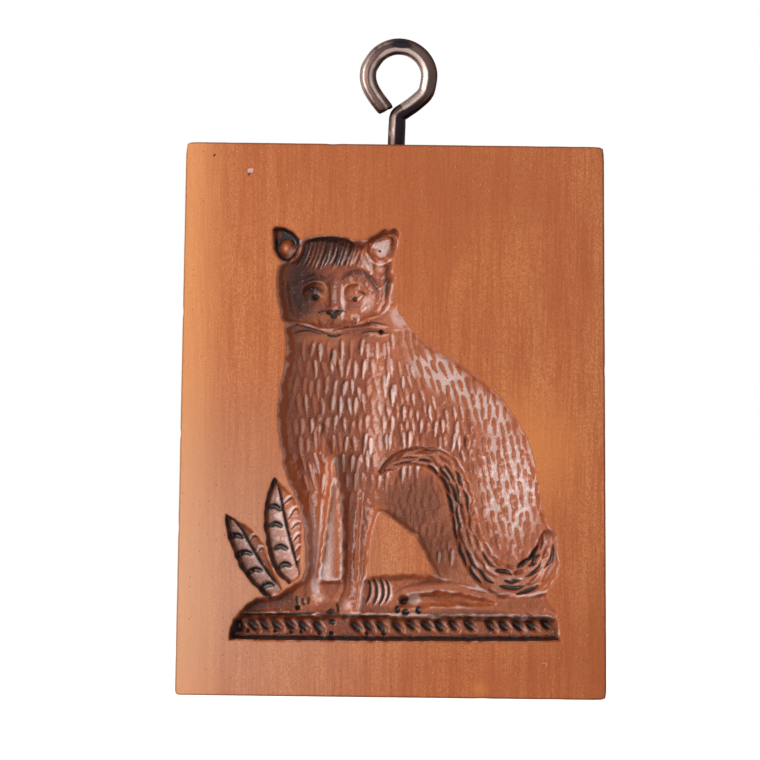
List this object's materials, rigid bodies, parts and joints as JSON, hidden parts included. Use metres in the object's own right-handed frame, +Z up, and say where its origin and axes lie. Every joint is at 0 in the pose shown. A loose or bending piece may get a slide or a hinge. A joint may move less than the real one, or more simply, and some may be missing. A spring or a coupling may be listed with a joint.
{
  "type": "springerle mould",
  "caption": "Upright rectangular cookie mould with a seated cat, leaves and a beaded plinth sunk into its face, hung by a wire screw eye in its top edge.",
  "frame": {"origin": "middle of the bottom edge of the block, halfway through its thickness", "axes": "+Z up to the screw eye, +X to the right along the carved face, -Y out of the carved face"},
  "size_m": [0.08, 0.018, 0.1224],
  "materials": {
    "block": "warm reddish-brown wood tone, satin face with fine upright grain, darker glaze lying in the carving",
    "wire": "tarnished bronze-brown wire with worn pinkish highlights and dark oxide patches"
  },
  "bodies": {
    "block": {"mould_block": "block"},
    "eye": {"screw_eye": "wire"}
  },
  "joints": [
    {"name": "eye_turn", "type": "hinge", "parent": "block", "child": "eye", "pos_m": [-0.0002, 0, 0.1025], "axis": [0, 0, 1], "range_deg": [-90, 90]}
  ]
}
